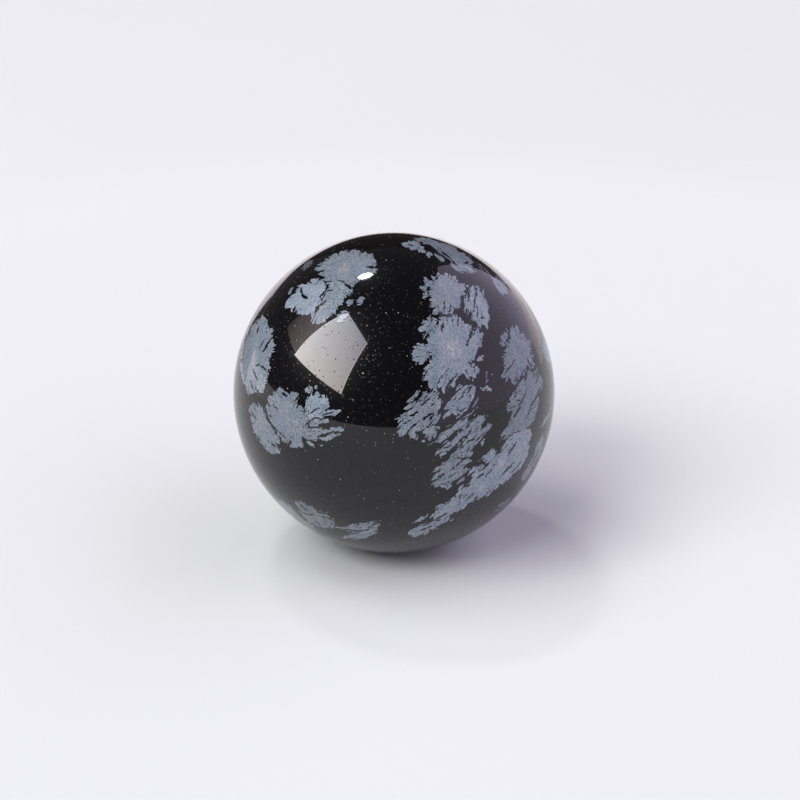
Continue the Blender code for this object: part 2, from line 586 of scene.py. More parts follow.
@dataclass(frozen=True)
class PhotoView:
    """Where the photograph was taken from, and where its pixels fall on the ball.

    ball_at and ball_radius are the ball's middle and radius in the photograph, in pixels.
    """

    ball: Ball
    side: int = 800
    lens_mm: float = 100.0
    sensor_mm: float = 36.0
    nearest_seen: float = 0.01
    elevation: float = math.radians(24.0)
    ball_at: Pixel = (393.5, 392.0)
    ball_radius: float = 160.7

    @property
    def pixel_slope(self) -> float:
        """How far apart two neighbouring pixels' lines of sight are, at a distance of one."""
        return self.sensor_mm / self.lens_mm / self.side

    @property
    def away(self) -> Vector:
        """The direction from the ball towards the camera."""
        return Vector((0.0, -math.cos(self.elevation), math.sin(self.elevation)))

    @property
    def up(self) -> Vector:
        """The photograph's upward direction."""
        return Vector((0.0, math.sin(self.elevation), math.cos(self.elevation)))

    @property
    def right(self) -> Vector:
        """The photograph's rightward direction."""
        return Vector((1.0, 0.0, 0.0))

    @property
    def eye(self) -> Vector:
        """The camera's place, which gives the ball the photograph's size and puts it in the same place.

        Returns:
            The place.
        """
        distance = self.ball.radius / math.sin(math.atan(self.ball_radius * self.pixel_slope))
        middle = (self.side - 1) / 2
        aside = (middle - self.ball_at[0]) * self.pixel_slope * distance
        below = (middle - self.ball_at[1]) * self.pixel_slope * distance
        return self.ball.centre + self.away * distance + self.right * aside - self.up * below

    def sight(self, pixel: Pixel) -> Vector:
        """Finds the direction in which a pixel looks.

        Args:
            pixel: column and row.

        Returns:
            The direction, away from the camera.
        """
        middle = (self.side - 1) / 2
        across = (pixel[0] - middle) * self.pixel_slope
        down = (pixel[1] - middle) * self.pixel_slope
        return (self.right * across - self.up * down - self.away).normalized()

    def on_ball(self, pixel: Pixel) -> Vector:
        """Finds the point of the ball that a pixel shows.

        Args:
            pixel: column and row, which may lie off the ball.

        Returns:
            The point on the ball, or for a pixel off it, the nearest point of its line of sight.
        """
        ray = self.sight(pixel)
        offset = self.eye - self.ball.centre
        nearest = -ray.dot(offset)
        gap = offset.dot(offset) - self.ball.radius ** 2 - nearest ** 2
        return self.eye + ray * (nearest - math.sqrt(max(-gap, 0.0)))

    def place_camera(self) -> None:
        """Adds the camera and makes it the scene's."""
        camera = bpy.data.cameras.new("photo_view")
        camera.lens = self.lens_mm
        camera.sensor_width = self.sensor_mm
        camera.clip_start = self.nearest_seen
        holder = bpy.data.objects.new("photo_view", camera)
        axes = Matrix((self.right, self.up, self.away)).transposed()
        holder.matrix_world = Matrix.Translation(self.eye) @ axes.to_4x4()
        bpy.context.scene.collection.objects.link(holder)
        bpy.context.scene.camera = holder


@dataclass(frozen=True)
class Spot:
    """An oval on the ball, in millimetres: its middle, its axes and its half sizes along and across."""

    middle: Vector
    axes: Matrix
    along: float
    across: float

    @classmethod
    def from_patch(cls, patch: Patch, view: PhotoView) -> "Spot":
        """Lays an oval of the photograph on the ball.

        Args:
            patch: the oval in the photograph.
            view: the photograph's view.

        Returns:
            The oval on the ball that looks the same from the camera.
        """
        points = np.array([view.on_ball(pixel) for pixel in patch.outline()]) * MM
        middle = Vector(view.on_ball(patch.at)) * MM
        outward = np.array((middle - view.ball.centre * MM).normalized())
        flat = points - points.mean(axis=0)
        flat -= np.outer(flat @ outward, outward)
        # Points round an oval spread by half the square of each half size.
        spread, directions = np.linalg.eigh(flat.T @ flat * 2 / len(points))
        along, across = math.sqrt(spread[2]), math.sqrt(spread[1])
        first = Vector(directions[:, 2])
        normal = Vector(outward)
        axes = Matrix((first, normal.cross(first), normal)).transposed()
        return cls(Vector(points.mean(axis=0)), axes, along, across)

    @classmethod
    def on_surface(cls, outward: Vector, heading: Vector, size: tuple[float, float], ball: Ball) -> "Spot":
        """Lays an oval on any side of the ball.

        Args:
            outward: the direction from the ball's centre to the oval.
            heading: roughly the direction that the oval is long in.
            size: half sizes along and across, in millimetres.
            ball: the ball.

        Returns:
            The oval.
        """
        normal = outward.normalized()
        first = (heading - normal * heading.dot(normal)).normalized()
        axes = Matrix((first, normal.cross(first), normal)).transposed()
        return cls((ball.centre + normal * ball.radius) * MM, axes, size[0], size[1])


class Value:
    """A socket of a shader. A sum written with values adds the node that works it out."""

    def __init__(self, bench: "Bench", socket: bpy.types.NodeSocket) -> None:
        """Wraps a socket of a node on the bench."""
        self.bench = bench
        self.socket = socket

    @property
    def is_number(self) -> bool:
        """True for a plain number, False for a vector or a colour."""
        return self.socket.type == "VALUE"

    def _sum(
        self, operation: str, first: "Value | Number | Vector", second: "Value | Number | Vector",
    ) -> "Value":
        """Adds a Math node for numbers, or a Vector Math node if a side is a vector.

        Args:
            operation: the node's operation.
            first: the left side.
            second: the right side.

        Returns:
            The result.
        """
        numbers = all(
            side.is_number if isinstance(side, Value) else isinstance(side, (int, float))
            for side in (first, second)
        )
        kind = "ShaderNodeMath" if numbers else "ShaderNodeVectorMath"
        return self.bench.add(kind, {"operation": operation}, {0: first, 1: second})

    def __add__(self, other: "Value | Number | Vector") -> "Value":
        """self + other."""
        return self._sum("ADD", self, other)

    def __radd__(self, other: "Number | Vector") -> "Value":
        """other + self."""
        return self._sum("ADD", other, self)

    def __sub__(self, other: "Value | Number | Vector") -> "Value":
        """self - other."""
        return self._sum("SUBTRACT", self, other)

    def __rsub__(self, other: "Number | Vector") -> "Value":
        """other - self."""
        return self._sum("SUBTRACT", other, self)

    def __mul__(self, other: "Value | Number | Vector") -> "Value":
        """self * other, where a vector times a number is scaled by it.

        Args:
            other: the right side.

        Returns:
            The product.
        """
        plain = isinstance(other, (int, float)) or (isinstance(other, Value) and other.is_number)
        if plain and not self.is_number:
            return self.bench.add("ShaderNodeVectorMath", {"operation": "SCALE"}, {0: self, "Scale": other})
        return self._sum("MULTIPLY", self, other)

    def __rmul__(self, other: "Number | Vector") -> "Value":
        """other * self."""
        return self * other

    def __truediv__(self, other: "Value | Number") -> "Value":
        """self / other."""
        return self._sum("DIVIDE", self, other)

    def __abs__(self) -> "Value":
        """The size of a number without its sign."""
        return self.bench.add("ShaderNodeMath", {"operation": "ABSOLUTE"}, {0: self})

    def least(self, other: "Value | Number") -> "Value":
        """The smaller of two."""
        return self._sum("MINIMUM", self, other)

    def most(self, other: "Value | Number") -> "Value":
        """The larger of two."""
        return self._sum("MAXIMUM", self, other)

    def below(self, other: "Value | Number") -> "Value":
        """1 where self is less than other, else 0."""
        return self._sum("LESS_THAN", self, other)

    def melt(self, other: "Value", width: float) -> "Value":
        """The smaller of two numbers, rounded off over a width where they are close."""
        return self.bench.add("ShaderNodeMath", {"operation": "SMOOTH_MIN"}, {0: self, 1: other, 2: width})

    def length(self) -> "Value":
        """A vector's length."""
        return self.bench.add("ShaderNodeVectorMath", {"operation": "LENGTH"}, {0: self}, "Value")

    def dot(self, other: "Value | Vector") -> "Value":
        """The dot product of two vectors."""
        sides = {0: self, 1: other}
        return self.bench.add("ShaderNodeVectorMath", {"operation": "DOT_PRODUCT"}, sides, "Value")

    def beside(self, name: str) -> "Value":
        """Another output of the same node."""
        return Value(self.bench, self.socket.node.outputs[name])

    def part(self, name: str) -> "Value":
        """One of a vector's numbers, X, Y or Z."""
        return self.bench.add("ShaderNodeSeparateXYZ", {}, {0: self}, name)

    def ramp(self, start: float, end: float) -> "Value":
        """Goes smoothly from 0 at start to 1 at end, either way round.

        Args:
            start: where the result is 0.
            end: where it is 1.

        Returns:
            A number from 0 to 1.
        """
        return self.bench.add(
            "ShaderNodeMapRange", {"interpolation_type": "SMOOTHSTEP"},
            {"Value": self, "From Min": start, "From Max": end},
        )


class Bench:
    """The node tree of one finish, with one method that adds any node to it."""

    def __init__(self, tree: bpy.types.NodeTree) -> None:
        """Clears the tree."""
        self.tree = tree
        tree.nodes.clear()

    @classmethod
    def group(
        cls, name: str, inputs: dict[str, str], outputs: dict[str, str],
    ) -> "tuple[Bench, dict[str, Value]]":
        """Starts a node group.

        Args:
            name: the group's name.
            inputs: the kind of each input, Vector, Color or Float, by the input's name.
            outputs: the same for each output.

        Returns:
            The group's bench, and its inputs by their names.
        """
        tree = bpy.data.node_groups.new(name, "ShaderNodeTree")
        for side, sockets in (("INPUT", inputs), ("OUTPUT", outputs)):
            for socket, kind in sockets.items():
                tree.interface.new_socket(name=socket, in_out=side, socket_type=f"NodeSocket{kind}")
        bench = cls(tree)
        start = tree.nodes.new("NodeGroupInput")
        return bench, {name: Value(bench, start.outputs[name]) for name in inputs}

    @staticmethod
    def _pick(sockets: bpy.types.bpy_prop_collection, key: str | int) -> bpy.types.NodeSocket:
        """Looks up a socket of a node.

        Args:
            sockets: the node's inputs or outputs.
            key: the socket's number, or its name among the sockets in use.

        Returns:
            The socket.
        """
        if isinstance(key, int):
            return sockets[key]
        return next(socket for socket in sockets if socket.name == key and socket.enabled)

    def add(
        self, kind: str, settings: dict[str, object], inputs: dict[str | int, object], out: str | int = 0,
    ) -> Value:
        """Adds a node.

        Args:
            kind: the node's type.
            settings: its properties, which are set before its sockets are looked up.
            inputs: a value or a link for each socket that isn't left as it is.
            out: the output that is wanted, by name or number.

        Returns:
            That output.
        """
        node = self.tree.nodes.new(kind)
        for name, setting in settings.items():
            setattr(node, name, setting)
        self._fill(node, inputs)
        return Value(self, self._pick(node.outputs, out))

    def end(self, kind: str, inputs: dict[str | int, object]) -> None:
        """Adds a node that has no output of its own, such as the material's or the group's end."""
        self._fill(self.tree.nodes.new(kind), inputs)

    def _fill(self, node: bpy.types.Node, inputs: dict[str | int, object]) -> None:
        """Links a node's sockets, or sets their numbers.

        Args:
            node: the node.
            inputs: a value or a link by each socket's name or number.
        """
        for key, value in inputs.items():
            socket = self._pick(node.inputs, key)
            if isinstance(value, Value):
                self.tree.links.new(value.socket, socket)
            else:
                socket.default_value = value

    def mix(self, share: Value | Number, first: Value | Vector, second: Value | Vector) -> Value:
        """Goes from one vector to another.

        Args:
            share: 0 for the first, 1 for the second.
            first: a value, or plain numbers.
            second: a value, or plain numbers.

        Returns:
            The mixture.
        """
        ends = {"Factor": share, "A": first, "B": second}
        return self.add("ShaderNodeMix", {"data_type": "VECTOR"}, ends, "Result")

    def grain(self, place: Value, scale: float, detail: float = 0.0, out: str = "Fac") -> Value:
        """Soft noise, about 0.3 to 0.7, that is the same in all directions.

        Args:
            place: where it is looked up.
            scale: how many grains there are to the millimetre.
            detail: how many finer layers it has.
            out: Fac for a number, Color for three.

        Returns:
            The noise.
        """
        inputs = {"Vector": place, "Scale": scale, "Detail": detail}
        return self.add("ShaderNodeTexNoise", {"noise_dimensions": "3D"}, inputs, out)


ROSETTE_REACH = 0.8
FIRST_UNSEEN_SEED = 200.0
SEED_STEP_UNSEEN = 11


@dataclass(frozen=True)
class Growth:
    """A snowflake on the ball, in millimetres, as the stone's finish draws it.

    Its fibres spread from focus and look straight from facing, fineness is how many there are to the
    radian, and seed makes them unlike the next flake's.
    """

    name: str
    focus: Vector
    facing: Vector
    fineness: float
    seed: float
    tone: float
    lobes: tuple[Spot, ...]
    slits: tuple[Spot, ...]

    @property
    def look(self) -> Vector:
        """Fineness, seed and tone, in the form that the finish passes on."""
        return Vector((self.fineness, self.seed, self.tone))

    @classmethod
    def from_flake(cls, flake: Flake, view: PhotoView, seed: float) -> "Growth":
        """Lays one of the photograph's flakes on the ball.

        Args:
            flake: the flake.
            view: the photograph's view.
            seed: a number that no other flake has.

        Returns:
            The flake on the ball.
        """
        lobes = tuple(Spot.from_patch(patch, view) for patch in flake.lobes)
        slits = tuple(Spot.from_patch(patch, view) for patch in flake.slits)
        focus = view.on_ball(flake.focus) * MM
        main = lobes[0]
        gap = main.middle - focus
        gap -= view.away * gap.dot(view.away)
        reach = max(gap.length, ROSETTE_REACH * math.sqrt(main.along * main.across))
        strand = flake.strand * view.ball.radius * MM / view.ball_radius
        return cls(flake.name, focus, view.away, reach / strand, seed, flake.tone, lobes, slits)


class Habit(Enum):
    """How a snowflake on the unseen sides has grown."""

    ROSETTE = "round, with fibres from its middle"
    FAN = "one-sided, with fibres from a point at its edge"
    RAFT = "striped, with fibres from a point well outside it"


@dataclass(frozen=True)
class Proportions:
    """What the snowflakes on the unseen sides are chosen from.

    Lengths are shares of the flake's own size, but for a slit's width and a crumb's size, which are
    in millimetres. The counts are tuples that one number is picked from.
    """

    habit_weights: tuple[int, ...] = (5, 3, 3)
    fan_focus: float = -0.75
    raft_focus: float = 7.0
    raft_rows: tuple[int, ...] = (3, 4, 5)
    raft_pitch: float = 1.5
    raft_stagger: Range = (-0.35, 0.35)
    raft_length: Range = (0.75, 1.05)
    raft_width: float = 0.85
    squash: Range = (0.68, 0.9)
    petals: tuple[int, ...] = (3, 4, 5)
    petal_reach: Range = (0.7, 1.0)
    petal_length: Range = (0.28, 0.5)
    petal_width: Range = (0.16, 0.3)
    slits: tuple[int, ...] = (3, 4, 5)
    slit_reach: Range = (0.45, 0.95)
    slit_length: Range = (0.18, 0.38)
    slit_width: Range = (0.05, 0.1)
    crumbs: tuple[int, ...] = (0, 1, 2)
    crumb_reach: Range = (1.25, 1.45)
    crumb_length: Range = (0.15, 0.4)
    crumb_width: Range = (0.12, 0.25)
    tone: Range = (0.93, 1.06)


@dataclass(frozen=True)
class UnseenSides:
    """Snowflakes for the sides that the photograph doesn't show, laid out by a seeded choice.

    Lengths are in millimetres.
    """

    ball: Ball
    away: Vector
    proportions: Proportions = Proportions()
    seed: int = 20
    clusters: int = 15
    cluster_sizes: tuple[int, ...] = (1, 2, 3, 3, 4)
    tries: int = 600
    turned_from_view: float = -0.12
    clearance: float = 1.3
    neighbour_room: float = 0.8
    closeness: float = 0.95
    wander: float = 0.6
    smallest: float = 1.2
    largest: float = 3.1
    strand: float = 0.42

    def heading(self, outward: Vector, turn: float) -> Vector:
        """A direction along the surface, by its angle.

        Args:
            outward: the direction from the ball's centre to the place.
            turn: the angle.

        Returns:
            The direction.
        """
        across = outward.orthogonal().normalized()
        return across * math.cos(turn) + outward.cross(across) * math.sin(turn)

    def any_heading(self, draw: random.Random, outward: Vector) -> Vector:
        """A direction along the surface, picked at random."""
        return self.heading(outward, draw.uniform(0, 2 * math.pi))

    def stepped(self, outward: Vector, heading: Vector, distance: float) -> Vector:
        """Goes over the surface.

        Args:
            outward: the direction from the ball's centre to the start.
            heading: the way to go.
            distance: how far, in millimetres.

        Returns:
            The direction from the ball's centre to the end.
        """
        turn = distance / (self.ball.radius * MM)
        return (outward * math.cos(turn) + heading.normalized() * math.sin(turn)).normalized()

    def place(self, outward: Vector) -> Vector:
        """The point of the surface in a direction from the ball's centre, in millimetres."""
        return (self.ball.centre + outward * self.ball.radius) * MM

    def spot(self, outward: Vector, heading: Vector, along: float, across: float) -> Spot:
        """An oval on the surface, by its half sizes in millimetres."""
        return Spot.on_surface(outward, heading, (along, across), self.ball)

    def rosette(self, draw: random.Random, outward: Vector, main: Vector, size: float) -> list[Spot]:
        """Lays out a round flake, one large oval with petals round it.

        Args:
            draw: the seeded choice.
            outward: the direction from the ball's centre to the flake's middle.
            main: the way that it is long.
            size: its rough radius.

        Returns:
            Its ovals.
        """
        shape = self.proportions
        lobes = [self.spot(outward, main, size, size * draw.uniform(*shape.squash))]
        for _ in range(draw.choice(shape.petals)):
            away = self.any_heading(draw, outward)
            middle = self.stepped(outward, away, size * draw.uniform(*shape.petal_reach))
            length = size * draw.uniform(*shape.petal_length)
            lobes.append(self.spot(middle, away, length, size * draw.uniform(*shape.petal_width)))
        return lobes

    def raft(self, draw: random.Random, outward: Vector, turn: float, size: float) -> list[Spot]:
        """Lays out a striped flake, rows of long ovals side by side.

        Args:
            draw: the seeded choice.
            outward: the direction from the ball's centre to the flake's middle.
            turn: the angle of its rows.
            size: its rough radius.

        Returns:
            Its ovals.
        """
        shape = self.proportions
        rows = draw.choice(shape.raft_rows)
        main = self.heading(outward, turn)
        side = self.heading(outward, turn + math.pi / 2)
        lobes: list[Spot] = []
        for row in range(rows):
            offset = (row - (rows - 1) / 2) * shape.raft_pitch * size / rows
            middle = self.stepped(outward, side, offset)
            middle = self.stepped(middle, main, draw.uniform(*shape.raft_stagger) * size)
            length = size * draw.uniform(*shape.raft_length)
            lobes.append(self.spot(middle, main, length, shape.raft_width * size / rows))
        return lobes

    def slits(self, draw: random.Random, outward: Vector, focus: Vector, size: float) -> list[Spot]:
        """Lays out a flake's dark gaps, which run along its fibres.

        Args:
            draw: the seeded choice.
            outward: the direction from the ball's centre to the flake's middle.
            focus: the point that its fibres spread from.
            size: its rough radius.

        Returns:
            The gaps' ovals.
        """
        shape = self.proportions
        slits: list[Spot] = []
        for _ in range(draw.choice(shape.slits)):
            away = self.any_heading(draw, outward)
            middle = self.stepped(outward, away, size * draw.uniform(*shape.slit_reach))
            length = size * draw.uniform(*shape.slit_length)
            outward_from_focus = self.place(middle) - focus
            slits.append(self.spot(middle, outward_from_focus, length, draw.uniform(*shape.slit_width)))
        return slits

    def crumbs(self, draw: random.Random, outward: Vector, size: float) -> list[Spot]:
        """Lays out the crumbs beside a flake.

        Args:
            draw: the seeded choice.
            outward: the direction from the ball's centre to the flake's middle.
            size: its rough radius.

        Returns:
            The crumbs' ovals.
        """
        shape = self.proportions
        crumbs: list[Spot] = []
        for _ in range(draw.choice(shape.crumbs)):
            away = self.any_heading(draw, outward)
            middle = self.stepped(outward, away, size * draw.uniform(*shape.crumb_reach))
            length = draw.uniform(*shape.crumb_length)
            crumbs.append(self.spot(middle, away, length, draw.uniform(*shape.crumb_width)))
        return crumbs

    def flake(self, draw: random.Random, outward: Vector, size: float, seed: float) -> Growth:
        """Grows one snowflake.

        Args:
            draw: the seeded choice.
            outward: the direction from the ball's centre to the flake's middle.
            size: its rough radius.
            seed: a number that no other flake has.

        Returns:
            The flake.
        """
        shape = self.proportions
        habit = draw.choices(list(Habit), weights=shape.habit_weights)[0]
        turn = draw.uniform(0, 2 * math.pi)
        main = self.heading(outward, turn)
        if habit is Habit.RAFT:
            focus_gap = shape.raft_focus * size
            focus = self.place(outward) + main * focus_gap
            lobes = self.raft(draw, outward, turn, size)
        else:
            focus_gap = 0.0 if habit is Habit.ROSETTE else shape.fan_focus * size
            focus = self.place(self.stepped(outward, main, focus_gap))
            lobes = self.rosette(draw, outward, main, size)
        slits = self.slits(draw, outward, focus, size)
        lobes += self.crumbs(draw, outward, size)
        reach = max(abs(focus_gap), ROSETTE_REACH * size)
        tone = draw.uniform(*shape.tone)
        name = f"unseen_{habit.name.lower()}"
        return Growth(name, focus, outward, reach / self.strand, seed, tone, tuple(lobes), tuple(slits))

    def cluster(
        self, draw: random.Random, outward: Vector, taken: list[tuple[Vector, float]], first_seed: float,
    ) -> tuple[list[Growth], list[tuple[Vector, float]]]:
        """Grows a few snowflakes in a row.

        Args:
            draw: the seeded choice.
            outward: the direction from the ball's centre to the first.
            taken: the directions and sizes of the flakes that they keep clear of.
            first_seed: the first flake's seed.

        Returns:
            The flakes, and their directions and sizes.
        """
        grown: list[Growth] = []
        mine: list[tuple[Vector, float]] = []
        path = draw.uniform(0, 2 * math.pi)
        for _ in range(draw.choice(self.cluster_sizes)):
            size = draw.uniform(self.smallest, self.largest)
            if mine:
                last, last_size = mine[-1]
                outward = self.stepped(last, self.heading(last, path), self.closeness * (last_size + size))
                path += draw.uniform(-self.wander, self.wander)
                if not self.is_free(outward, size + self.neighbour_room, taken):
                    break
            mine.append((outward, size))
            grown.append(self.flake(draw, outward, size, first_seed + SEED_STEP_UNSEEN * len(grown)))
        return grown, mine

    def growths(self, seen: list[Growth]) -> list[Growth]:
        """Fills the unseen sides with clusters of snowflakes.

        Args:
            seen: the flakes that the photograph shows, which they keep clear of.

        Returns:
            The new flakes.
        """
        draw = random.Random(self.seed)
        centre = self.ball.centre * MM
        taken = [
            ((spot.middle - centre).normalized(), spot.along)
            for growth in seen for spot in growth.lobes
        ]
        found: list[Growth] = []
        clusters = 0
        for _ in range(self.tries):
            outward = Vector([draw.gauss(0, 1) for _ in range(3)]).normalized()
            if clusters == self.clusters:
                break
            if not self.is_free(outward, self.largest + self.clearance, taken):
                continue
            clusters += 1
            first_seed = FIRST_UNSEEN_SEED + SEED_STEP_UNSEEN * len(found)
            grown, mine = self.cluster(draw, outward, taken, first_seed)
            found += grown
            taken += mine
        return found

    def is_free(self, outward: Vector, room: float, taken: list[tuple[Vector, float]]) -> bool:
        """Whether a place is out of the photograph's sight and clear of the flakes so far.

        Args:
            outward: the direction from the ball's centre to the place.
            room: how far it must be from the other flakes' edges.
            taken: the other flakes' directions and sizes.

        Returns:
            True if it is free.
        """
        if outward.dot(self.away) > self.turned_from_view:
            return False
        radius = self.ball.radius * MM
        return all(outward.angle(other) * radius > room + size for other, size in taken)


@dataclass(frozen=True)
class Heart:
    """A pale speckled spot in the middle of a snowflake: its pixel and its radius in pixels."""

    at: Pixel
    radius: float

    def on_ball(self, view: PhotoView) -> tuple[Vector, float]:
        """Its middle and its radius on the ball, in millimetres."""
        return view.on_ball(self.at) * MM, self.radius * view.ball.radius * MM / view.ball_radius


HEARTS = (
    Heart(at=(343, 268), radius=9),
    Heart(at=(453, 349), radius=12),
    Heart(at=(499, 465), radius=8),
    Heart(at=(481, 488), radius=7),
    Heart(at=(287, 420), radius=5),
)


@dataclass(frozen=True)
class Stripes:
    """Noise that runs along a flake's fibres.

    finer is how much narrower than a fibre its stripes are, length is how long they are in millimetres,
    and shift makes it unlike other noise of the same flake.
    """

    finer: float
    length: float
    shift: float


@dataclass(frozen=True)
class Fibres:
    """The fibres at one point of the stone: their direction and number, how far along them, and a seed."""

    bench: Bench
    spread: Value
    along: Value
    seed: Value

    def noise(self, stripes: Stripes) -> Value:
        """Draws soft noise in stripes along the fibres.

        Args:
            stripes: how fine and how long they are.

        Returns:
            The noise, about -0.2 to 0.2.
        """
        place = {
            "Vector": self.spread * stripes.finer,
            "W": self.along / stripes.length + self.seed + stripes.shift,
            "Scale": 1.0,
            "Detail": 0.0,
        }
        return self.bench.add("ShaderNodeTexNoise", {"noise_dimensions": "4D"}, place, "Fac") - NOISE_MIDDLE


@dataclass(frozen=True)
class Dots:
    """Round dots scattered at random, by spacing and largest radius in millimetres.

    shift makes them unlike other dots.
    """

    spacing: float
    largest: float
    shift: float
    smallest_share: float = 0.35
    soft_share: float = 0.4

    def draw(self, bench: Bench, place: Value) -> tuple[Value, Value]:
        """Draws the dots.

        Args:
            bench: the finish's bench.
            place: where they are looked up.

        Returns:
            1 in a dot and 0 outside, and for each dot a random number from 0 to 1.
        """
        shifted = place + Vector((self.shift, self.shift, self.shift))
        distance = bench.add(
            "ShaderNodeTexVoronoi", {"voronoi_dimensions": "3D", "feature": "F1"},
            {"Vector": shifted, "Scale": 1 / self.spacing, "Randomness": 1.0}, "Distance",
        )
        chance = distance.beside("Color")
        first, second = chance.part("X"), chance.part("Y")
        radius = (first * first * (1 - self.smallest_share) + self.smallest_share) * self.largest
        inside = bench.add(
            "ShaderNodeMapRange", {"interpolation_type": "SMOOTHSTEP"},
            {"Value": distance * self.spacing, "From Min": radius, "From Max": radius * self.soft_share},
        )
        return inside, second


@dataclass(frozen=True)
class Edges:
    """How ragged the flakes' outlines are, in millimetres.

    The grains are how many there are to the millimetre.
    """

    slow_grain: float = 0.6
    warp_slow: float = 0.35
    quick_grain: float = 2.5
    warp_quick: float = 0.2
    petals: Stripes = Stripes(finer=1.0, length=1.8, shift=0.0)
    petal: float = 0.8
    fringes: Stripes = Stripes(finer=2.2, length=0.8, shift=4.3)
    fringe: float = 0.65
    crumble_grain: float = 6.0
    crumble: float = 0.4
    notches: Stripes = Stripes(finer=1.6, length=1.5, shift=21.7)
    notch_depth: float = 0.4
    notch_width: float = 0.045
    soft: float = 0.03
    melt: float = 0.15

    def warped(self, bench: Bench, place: Value) -> Value:
        """Bends the place slightly, so that no oval stays a perfect one.

        Args:
            bench: the finish's bench.
            place: where on the stone.

        Returns:
            The bent place.
        """
        middle = Vector((NOISE_MIDDLE,) * 3)
        slow = bench.grain(place, self.slow_grain, out="Color") - middle
        quick = bench.grain(place, self.quick_grain, out="Color") - middle
        return place + slow * self.warp_slow + quick * self.warp_quick

    def outline(self, nearest: Value, place: Value, fibres: Fibres) -> Value:
        """Breaks a flake's smooth outline into petals.

        Args:
            nearest: the distance outside the nearest flake.
            place: where on the stone.
            fibres: the flake's fibres.

        Returns:
            The distance outside its ragged outline.
        """
        petals = fibres.noise(self.petals) * self.petal
        fringe = fibres.noise(self.fringes) * self.fringe
        grain = fibres.bench.grain(place, self.crumble_grain, detail=1.0)
        crumble = (grain - NOISE_MIDDLE) * self.crumble
        notches = abs(fibres.noise(self.notches)).ramp(self.notch_width, 0.0) * self.notch_depth
        return nearest + petals + fringe + crumble + notches


@dataclass(frozen=True)
class Gaps:
    """Where the glass shows through a flake: slits, cracks along its fibres, and seams between flakes.

    Widths and depths are in millimetres and go from where a gap isn't seen to where it is full. The
    grains are how many there are to the millimetre, and the patches say how much of them is taken.
    """

    ragged_grain: float = 4.5
    ragged: float = 0.2
    slit_soft: float = 0.03
    cracks: Stripes = Stripes(finer=1.5, length=1.3, shift=9.1)
    crack_width: Range = (0.022, 0.006)
    crack_depth: Range = (-1.3, -0.4)
    crack_grain: float = 0.9
    crack_patches: Range = (0.47, 0.56)
    seam_width: Range = (0.18, 0.08)
    seam_depth: Range = (0.2, -0.05)
    seam_grain: float = 1.7
    seam_patches: Range = (0.44, 0.54)
    seam_darkness: float = 0.85

    def left_open(self, given: dict[str, Value], fibres: Fibres) -> Value:
        """Finds where no gap runs.

        Args:
            given: the surface group's inputs.
            fibres: the nearest flake's fibres.

        Returns:
            0 in a gap and 1 elsewhere.
        """
        bench, place, nearest, second = fibres.bench, given["Place"], given["Nearest"], given["Second"]
        ragged = (bench.grain(place, self.ragged_grain) - NOISE_MIDDLE) * self.ragged
        slit = (given["Gap"] + ragged).ramp(-self.slit_soft, self.slit_soft)
        crack = abs(fibres.noise(self.cracks)).ramp(*self.crack_width) * nearest.ramp(*self.crack_depth)
        crack = crack * bench.grain(place, self.crack_grain).ramp(*self.crack_patches)
        seam = (second - nearest + ragged).ramp(*self.seam_width) * second.ramp(*self.seam_depth)
        seam = seam * bench.grain(place, self.seam_grain).ramp(*self.seam_patches) * self.seam_darkness
        return slit * (1 - crack) * (1 - seam)


@dataclass(frozen=True)
class Crystal:
    """The crystal's colours, and the strength of what varies them.

    The grains are how many there are to the millimetre, and the pairs are where an effect starts and
    where it is full.
    """

    pale: Colour = (0.190, 0.219, 0.256)
    steel: Colour = (0.161, 0.197, 0.243)
    heart: Colour = (0.330, 0.306, 0.314)
    blotch_grain: float = 3.2
    blotch: float = 0.35
    mottle_grain: float = 8.5
    mottle: float = 1.2
    streaks: Stripes = Stripes(finer=3.4, length=0.9, shift=13.7)
    streak: float = 0.4
    streak_start: Range = (0.3, 1.3)
    rim_width: Range = (-0.24, -0.05)
    rim: float = 0.15
    pore_grain: float = 6.5
    pore_width: Range = (0.36, 0.28)
    pore: float = 0.4
    tint_grain: float = 0.7
    tint_patches: Range = (0.42, 0.62)
    heart_grain: float = 5.5
    heart_patches: Range = (0.46, 0.58)
    heart_base: float = 0.15

    def colour(self, place: Value, fibres: Fibres, outline: Value, heart: Value) -> Value:
        """Mixes the crystal's colour.

        Args:
            place: where on the stone.
            fibres: the nearest flake's fibres.
            outline: the distance outside its ragged outline.
            heart: 1 in the middle of a pale heart and 0 outside it.

        Returns:
            The colour.
        """
        bench = fibres.bench
        blotch = (bench.grain(place, self.blotch_grain) - NOISE_MIDDLE) * self.blotch
        mottle = (bench.grain(place, self.mottle_grain, detail=1.0) - NOISE_MIDDLE) * self.mottle
        streak = fibres.noise(self.streaks) * self.streak * fibres.along.ramp(*self.streak_start)
        rim = outline.ramp(*self.rim_width) * self.rim
        pores = bench.grain(place, self.pore_grain).ramp(*self.pore_width) * self.pore
        light = 1 + (blotch + mottle) + streak + rim - pores
        patches = bench.grain(place, self.tint_grain, detail=1.0).ramp(*self.tint_patches)
        tint = bench.mix(patches, Vector(self.pale), Vector(self.steel))
        grains = bench.grain(place, self.heart_grain, detail=2.0).ramp(*self.heart_patches)
        share = heart * (self.heart_base + grains * (1 - self.heart_base))
        return bench.mix(share, tint, Vector(self.heart)) * light


